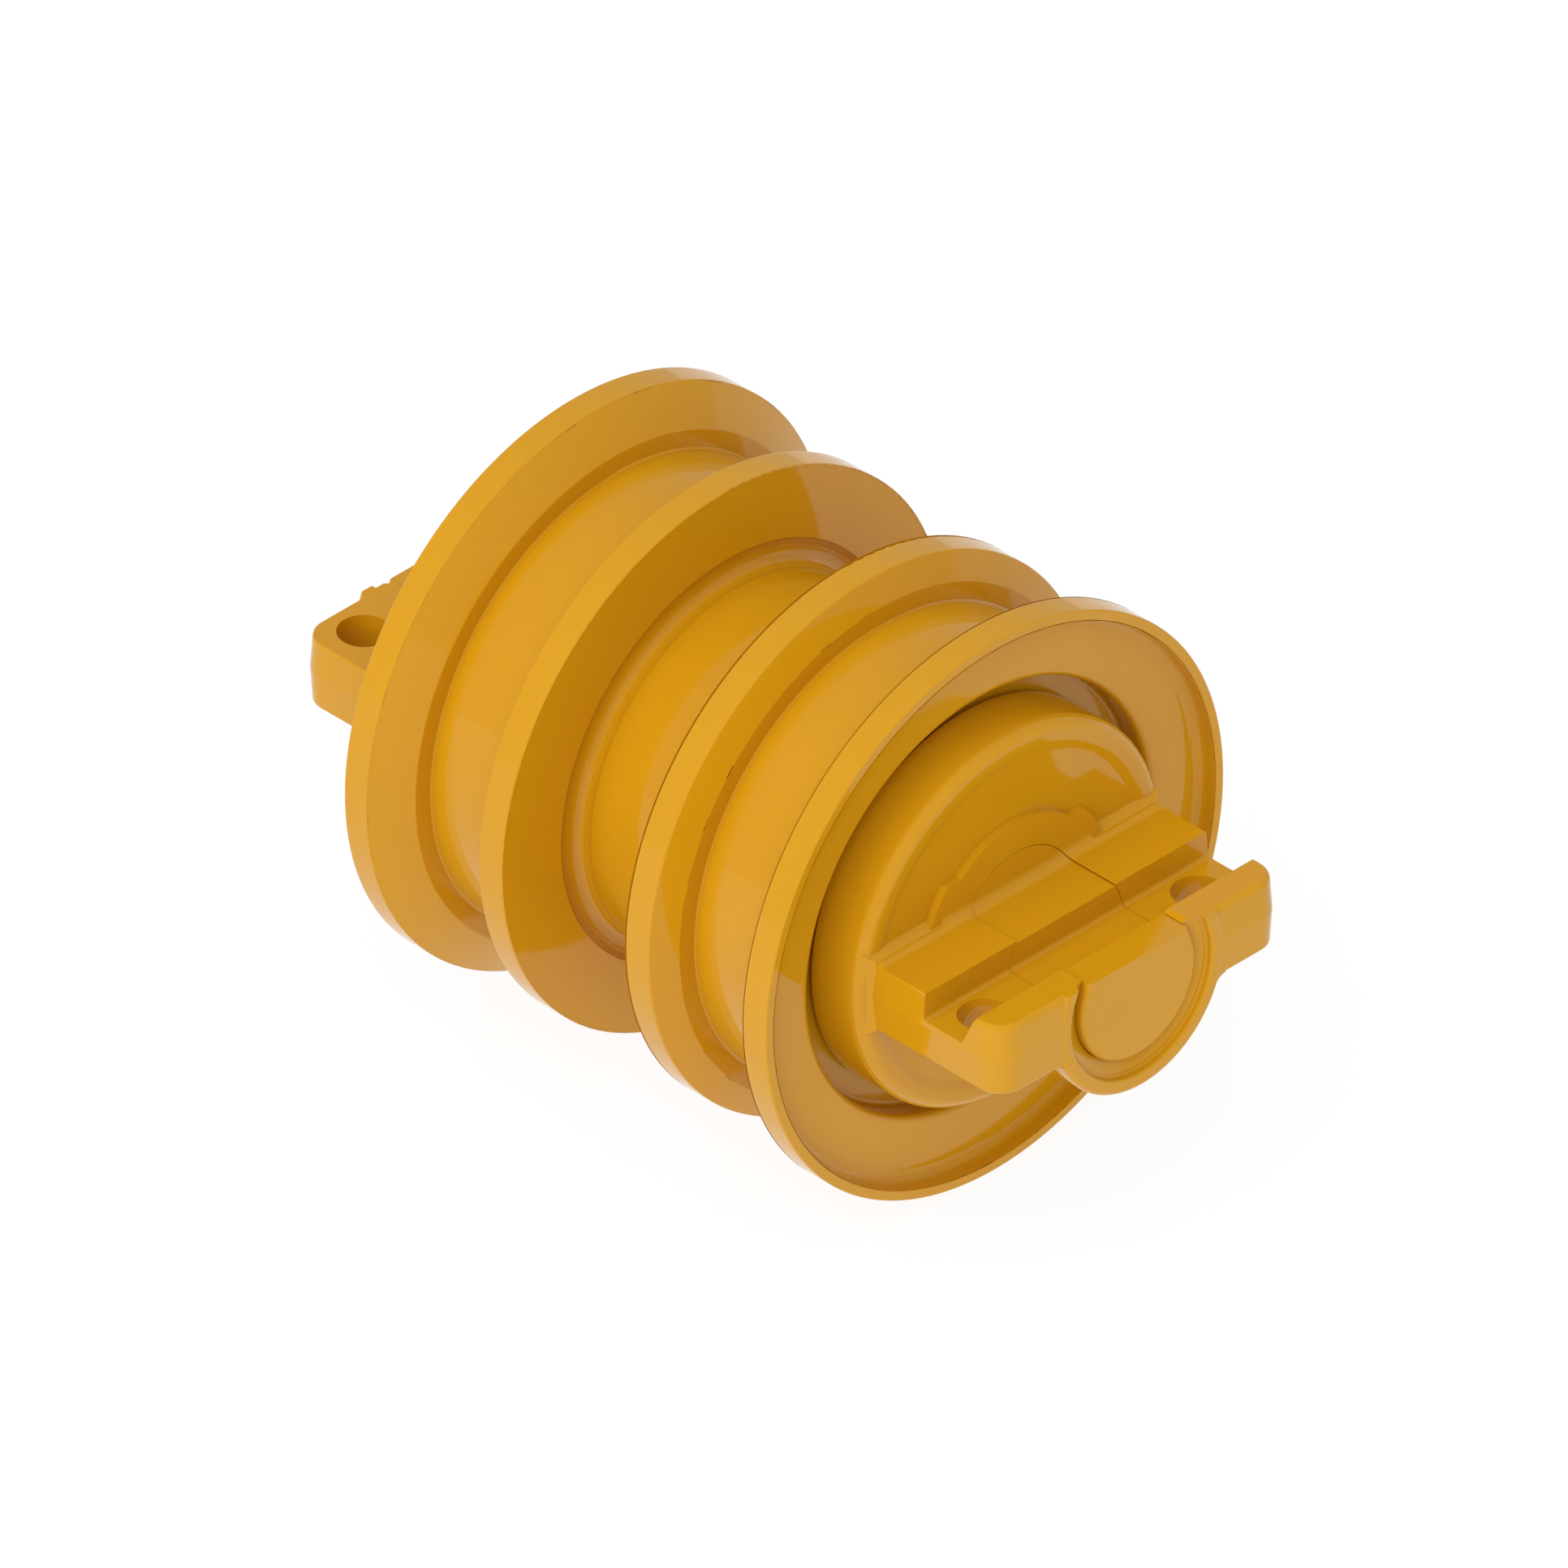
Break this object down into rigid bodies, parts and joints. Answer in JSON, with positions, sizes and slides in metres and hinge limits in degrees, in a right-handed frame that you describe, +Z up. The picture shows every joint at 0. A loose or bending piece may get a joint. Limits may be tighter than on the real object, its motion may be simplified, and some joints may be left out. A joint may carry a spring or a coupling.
{
  "type": "track roller",
  "caption": "Flanged roller on a plain-bearing shaft between two bolt-on end collars; carries a crawler machine's weight on its track chain.",
  "frame": {"origin": "on the roller's axis, midway between the two treads, at the joint of the two shell halves", "axes": "+Y along the shaft to the rear collar, +Z up to the track frame that the collars bolt to, +X along the track"},
  "size_m": [0.2554, 0.3946, 0.2554],
  "materials": {
    "paint": "glossy",
    "bronze": "satin",
    "steel": "satin",
    "rubber": "matte",
    "copper": "satin"
  },
  "bodies": {
    "carrier": {"shaft": "paint", "collar_front": "paint", "collar_rear": "paint", "collar_pin_front": "steel", "collar_pin_rear": "steel", "collar_oring_front": "rubber", "collar_oring_rear": "rubber", "fixed_seal_ring_front": "steel", "fixed_seal_ring_rear": "steel", "fixed_toric_front": "rubber", "fixed_toric_rear": "rubber", "oil_plug": "steel", "oil_plug_washer": "copper"},
    "roller": {"shell_half_front": "paint", "shell_half_rear": "paint", "bushing_front": "bronze", "bushing_rear": "bronze", "bushing_pin_front": "steel", "bushing_pin_rear": "steel", "turning_seal_ring_front": "steel", "turning_seal_ring_rear": "steel", "turning_toric_front": "rubber", "turning_toric_rear": "rubber"}
  },
  "joints": [
    {"name": "roller_spin", "type": "hinge", "parent": "carrier", "child": "roller", "pos_m": [0, 0, 0], "axis": [0, 1, 0], "continuous": true}
  ]
}
